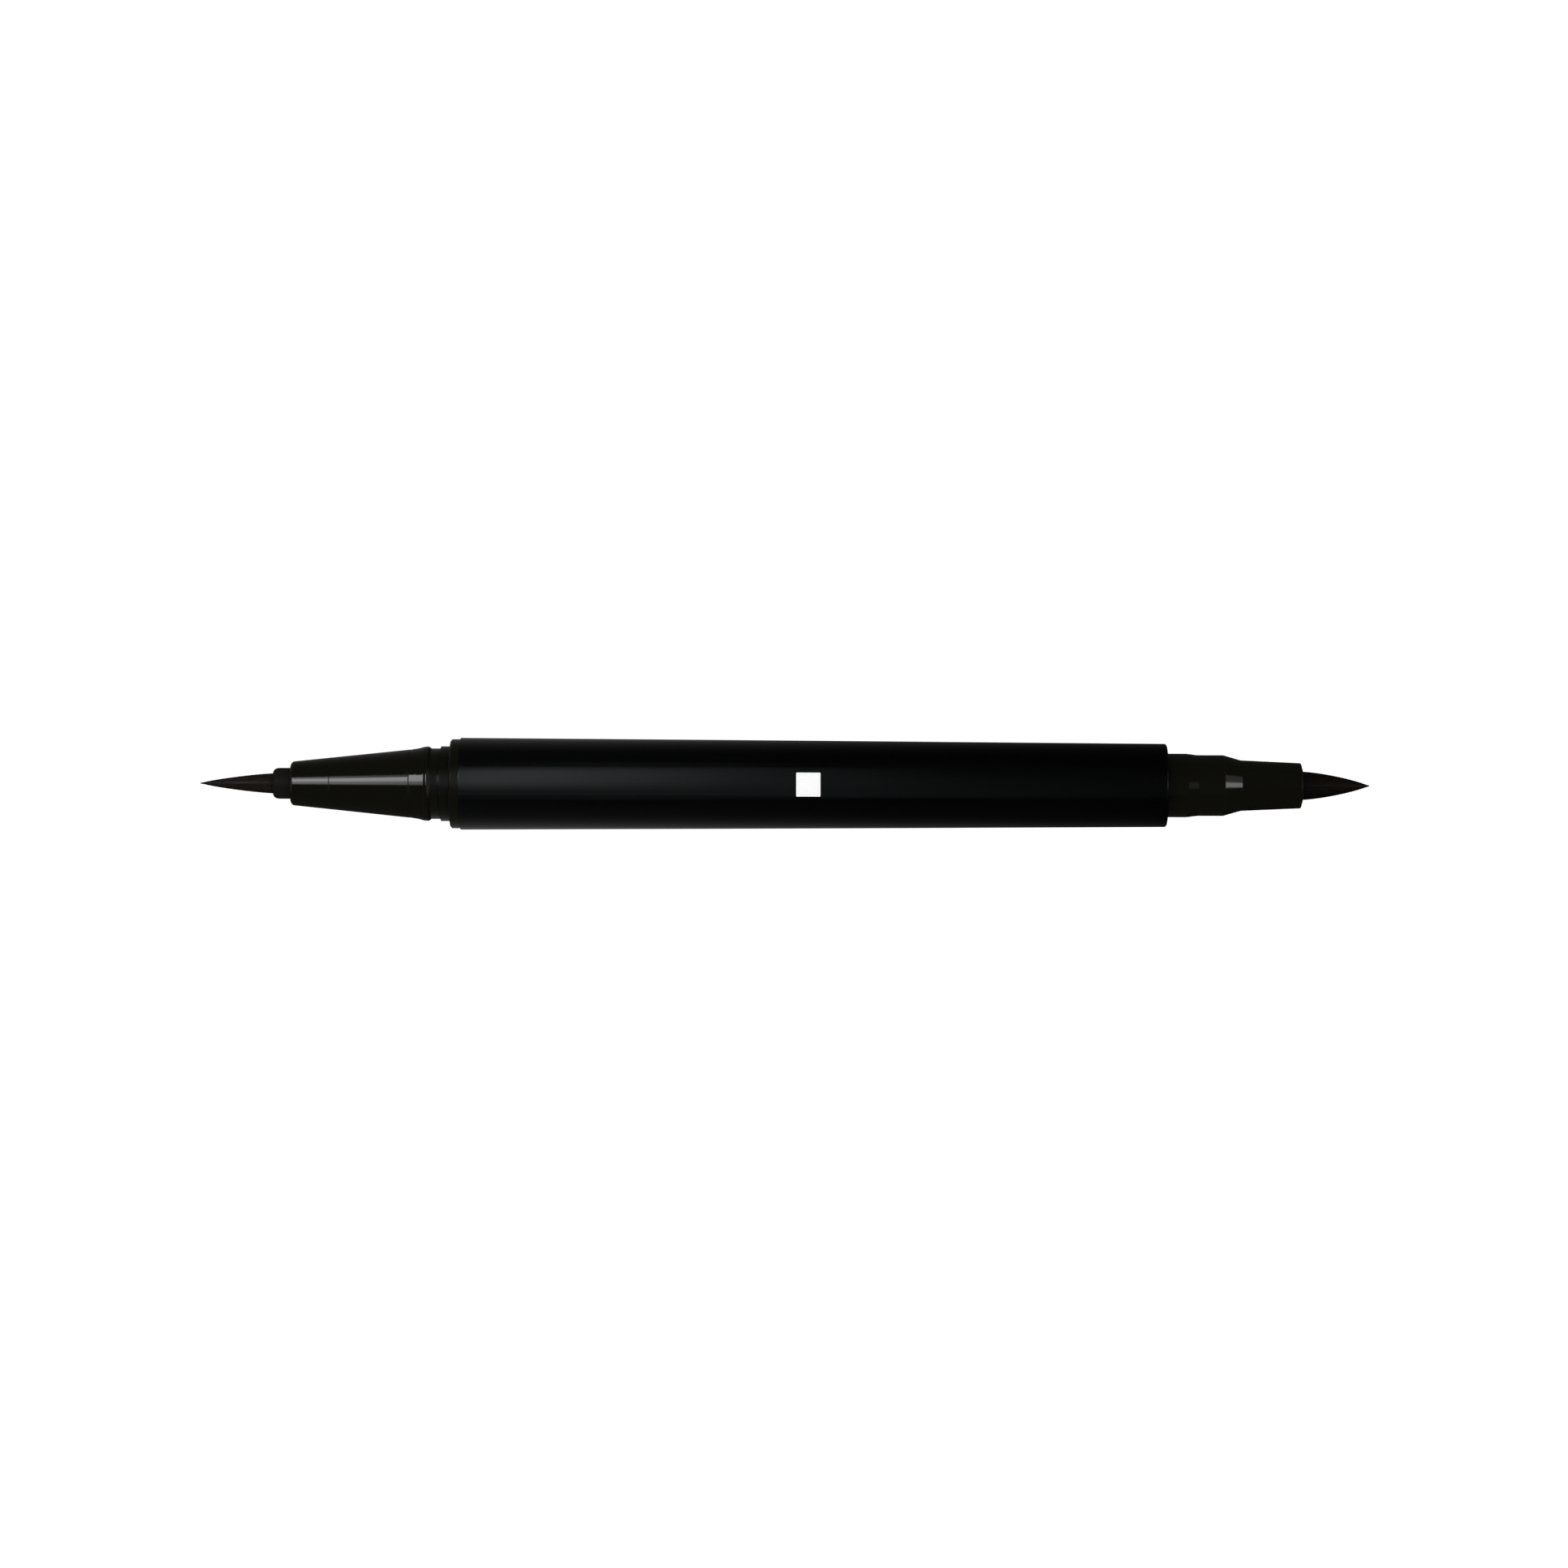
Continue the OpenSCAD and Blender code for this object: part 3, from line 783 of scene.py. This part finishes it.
slot_of = {row["node"]: row["material_slot"] for row in frame["record"]["subparts"]}
for node, obj in frame["nodes"].items():
    if not obj.hide_render:
        paint(obj, slot_of[node])

# ---- Studio ----

# Width of the picture, and of the pen in it
PIXELS = 1932
PEN_PIXELS = 1440
VIEW_WIDTH = (cad_box[1].x - cad_box[0].x) * PIXELS / PEN_PIXELS
CAMERA_HEIGHT = 0.6

# The studio is drawn by direction. Above the table, u and v are the slopes from straight up along X
# and Y. These are the ranges of u that parts of the pen mirror towards the camera.
BARREL_U = (-0.069, 0.105)
GRIP_U = (-0.8, -0.25)
BEAD_U = (-0.345, -0.293)
BEAD_FOOT_U = (-0.34, -0.304)
SLOPE_U = (0.62, 1.0)
WAIST_U = (0.28, 0.42)


def make_camera():
    """Straight down onto the pen, which lies across the middle of the picture, a little turned."""
    data = bpy.data.cameras.new("camera")
    data.sensor_width = 36
    data.lens = data.sensor_width * CAMERA_HEIGHT / VIEW_WIDTH
    data.clip_start = 0.01
    data.clip_end = 20
    camera = bpy.data.objects.new("camera", data)
    camera.location = AXIS + Vector((-0.1 * MM, 0.065 * MM, CAMERA_HEIGHT))
    camera.rotation_euler = (0, 0, math.radians(0.14))
    bpy.context.scene.collection.objects.link(camera)
    bpy.context.scene.camera = camera


def make_floor():
    """A plain white table. The glossy plastic mirrors the studio instead of the table."""
    bm = bmesh.new()
    bmesh.ops.create_grid(bm, x_segments=1, y_segments=1, size=3)
    floor = new_object("floor", bm)
    floor.visible_glossy = False
    made = Shader("white_floor", Roughness=1.0, Specular_IOR_Level=0.0, Emission_Strength=1.0)
    made.surface.inputs["Base Color"].default_value = rgba(0.1, 0.1, 0.1)
    made.surface.inputs["Emission Color"].default_value = rgba(1, 1, 1)
    floor.data.materials.append(made.material)


def overhead_box(made, u, v):
    """Broad dim box over the barrel, brightest at the left and fading across the right half."""
    level = made.spread(u, 0.0, 0.075, 0.16, 0.045)
    slant = made.times(made.spread(u, 0.02, 0.05, 0, 1), made.spread(v, -0.4, 0.75, 0, 0.95))
    level = made.times(level, made.minus(1.0, slant))
    glow = made.times(made.spread(u, -0.054, 0.002, 0.78, 0), made.window(v, -0.1, 0.8, 0.22))
    near_edge = made.spread(u, 0, 0.03, -0.56, -0.7)
    near = made.spread(made.minus(v, near_edge), -0.05, 0.05, 0, 1)
    box = made.times(near, made.spread(v, 0.95, 1.05, 1, 0), made.plus(level, glow))
    ledge = made.times(
        made.window(v, -0.85, 1.6, 0.08), made.spread(u, -0.02, 0.03, 0.07, 0.01)
    )
    return made.times(made.math("MAXIMUM", box, ledge), made.window(u, *BARREL_U, 0.004))


def grip_strip(made, u, v):
    """Bright strip that the fine grip mirrors, narrower and brighter for the bead."""
    top = made.minus(0.58, made.window(u, *BEAD_U, 0.004, 0.17))
    low_edge = made.spread(v, -0.09, -0.05, 0, 1)
    top_edge = made.spread(made.minus(v, top), -0.02, 0.02, 1, 0)
    level = made.plus(
        made.spread(v, 0.08, 0.2, 3.6, 10.5), made.window(u, *BEAD_FOOT_U, 0.008, 2.4)
    )
    return made.times(made.window(u, *GRIP_U, 0.02), low_edge, top_edge, level)


def nose_boxes(made, u, v):
    """Small box for the bold nose's slope, a dimmer one behind it, and a patch for the waist."""
    column = made.window(u, *SLOPE_U, 0.05)
    front = made.times(column, made.window(v, -0.14, 0.24, 0.07, 6.6))
    back = made.times(column, made.window(v, 0.24, 1.1, 0.1, 0.9))
    patch = made.times(made.window(u, *WAIST_U, 0.05), made.window(v, -0.2, 0.2, 0.1, 0.4))
    return made.plus(front, back, patch)


def end_boxes(made, x, y):
    """Tall boxes past both ends of the pen, which only slanting views mirror."""
    far = made.spread(made.math("ABSOLUTE", x), 0.64, 0.7, 0, 0.5)
    column = made.window(x, 0.37, 0.46, 0.01, 0.5)
    return made.times(made.plus(far, column), made.window(y, -0.42, 0.46, 0.12))


def low_walls(made, x, y, z):
    """Walls on both sides of the pen: paler towards the table, and paler to the left."""
    back = made.times(
        made.spread(z, 0.05, -0.8, 0, 0.1), made.spread(x, -0.04, 0.06, 1.15, 0.3),
        made.spread(y, -0.1, 0.1, 0, 1),
    )
    front = made.times(
        made.plus(made.spread(z, 0.75, 0.0, 0, 0.045), made.spread(z, 0.0, -0.7, 0, 0.12)),
        made.spread(x, -0.06, 0.06, 1.1, 0.25), made.window(x, -0.085, 0.085, 0.015),
        made.spread(y, -0.1, 0.1, 1, 0),
    )
    return made.plus(back, front)


def make_world():
    """Even white light, with soft boxes and walls that only the gloss mirrors."""
    world = bpy.data.worlds.new("studio")
    world.use_nodes = True
    world.cycles.sampling_method = "NONE"
    bpy.context.scene.world = world
    made = Nodes(world.node_tree)
    direction = made.node("ShaderNodeTexCoord").outputs["Generated"]
    x, y, z = made.node("ShaderNodeSeparateXYZ", {0: direction}).outputs
    up = made.math("MAXIMUM", z, 0.001)
    u = made.math("DIVIDE", x, up)
    v = made.math("DIVIDE", y, up)
    above = made.spread(z, 0, 0.02, 0, 1)

    overhead = made.times(overhead_box(made, u, v), above)
    others = made.plus(grip_strip(made, u, v), nose_boxes(made, u, v), end_boxes(made, x, y))
    haze = made.spread(x, -0.06, 0.03, 0.035, 0.003)
    total = made.plus(low_walls(made, x, y, z), overhead, made.times(others, above), haze)

    # The overhead box is slightly blue
    red = made.minus(total, made.times(overhead, 0.12))
    green = made.minus(total, made.times(overhead, 0.03))
    studio = made.node("ShaderNodeCombineXYZ", {0: red, 1: green, 2: total}).outputs[0]
    mirrored = made.node("ShaderNodeLightPath").outputs["Is Glossy Ray"]
    background = next(n for n in made.tree.nodes if n.type == "BACKGROUND")
    made.set(background.inputs["Color"], made.mix(mirrored, rgba(1.1, 1.1, 1.1), studio))


make_camera()
make_floor()
make_world()
settings = bpy.context.scene.view_settings
settings.view_transform = "Standard"
settings.look = "None"
